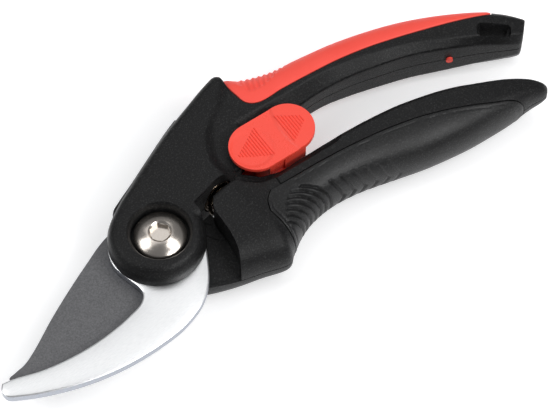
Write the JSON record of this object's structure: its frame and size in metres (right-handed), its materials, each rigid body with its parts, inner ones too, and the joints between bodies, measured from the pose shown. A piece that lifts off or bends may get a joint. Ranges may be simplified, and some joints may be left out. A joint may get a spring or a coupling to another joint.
{
  "type": "bypass pruner",
  "caption": "Bypass pruner with a steel hook, a dark coated blade, black nylon handles, a red soft inlay and a red thumb lock. The spring-loaded handle swings open and the lock slides.",
  "frame": {"origin": "pivot axis at the closed face of the pivot nut, on which the pruner rests", "axes": "+X from the pivot to the handle ends, +Z along the pivot axis from the nut to the bolt's domed head, +Y towards the red-inlaid upper handle"},
  "size_m": [0.2035, 0.0657, 0.023],
  "materials": {
    "brushed_steel": "brushed along the jaws",
    "coated_steel": "dark grey non-stick coating, satin",
    "nickel": "nickel plated, satin",
    "spring_steel": "blackened wire",
    "black_nylon": "fine moulded grain",
    "black_soft": "matt",
    "red_soft": "satin",
    "red_gloss": "slightly glossy"
  },
  "bodies": {
    "upper_handle": {"hook_blade": "brushed_steel", "upper_front_shell": "black_nylon", "upper_back_shell": "black_nylon", "upper_grip_inlay": "red_soft", "pivot_bolt": "nickel", "pivot_nut": "nickel", "pivot_bushing": "nickel", "pivot_head_washer": "nickel", "pivot_nut_washer": "nickel", "upper_handle_screw_1": "nickel", "upper_handle_screw_2": "nickel", "upper_handle_screw_3": "nickel", "hook_tang_pin": "nickel", "lock_guide_pin": "nickel", "upper_spring_seat": "black_nylon", "lock_detent_spring": "spring_steel", "return_spring": "spring_steel"},
    "lower_handle": {"cutting_blade": "coated_steel", "lower_front_shell": "black_nylon", "lower_back_shell": "black_nylon", "lower_soft_grip": "black_soft", "lower_handle_screw_1": "nickel", "lower_handle_screw_2": "nickel", "lower_handle_screw_3": "nickel", "blade_tang_pin": "nickel", "lock_catch_pin": "nickel", "lower_spring_seat": "black_nylon"},
    "lock": {"lock_slider": "red_gloss", "lock_back_cap": "red_gloss", "lock_cap_screw": "nickel"}
  },
  "joints": [
    {"name": "lower_handle_hinge", "type": "hinge", "parent": "upper_handle", "child": "lower_handle", "pos_m": [0.001, -0.0005, 0.0104], "axis": [0, 0, -1], "range_deg": [0, 33], "stiffness_Nm_per_rad": 1.4, "springref_deg": 49.27, "deforming": ["return_spring"]},
    {"name": "lock_slide", "type": "slide", "parent": "upper_handle", "child": "lock", "axis": [-1, 0, 0], "range_m": [0, 0.005]}
  ]
}
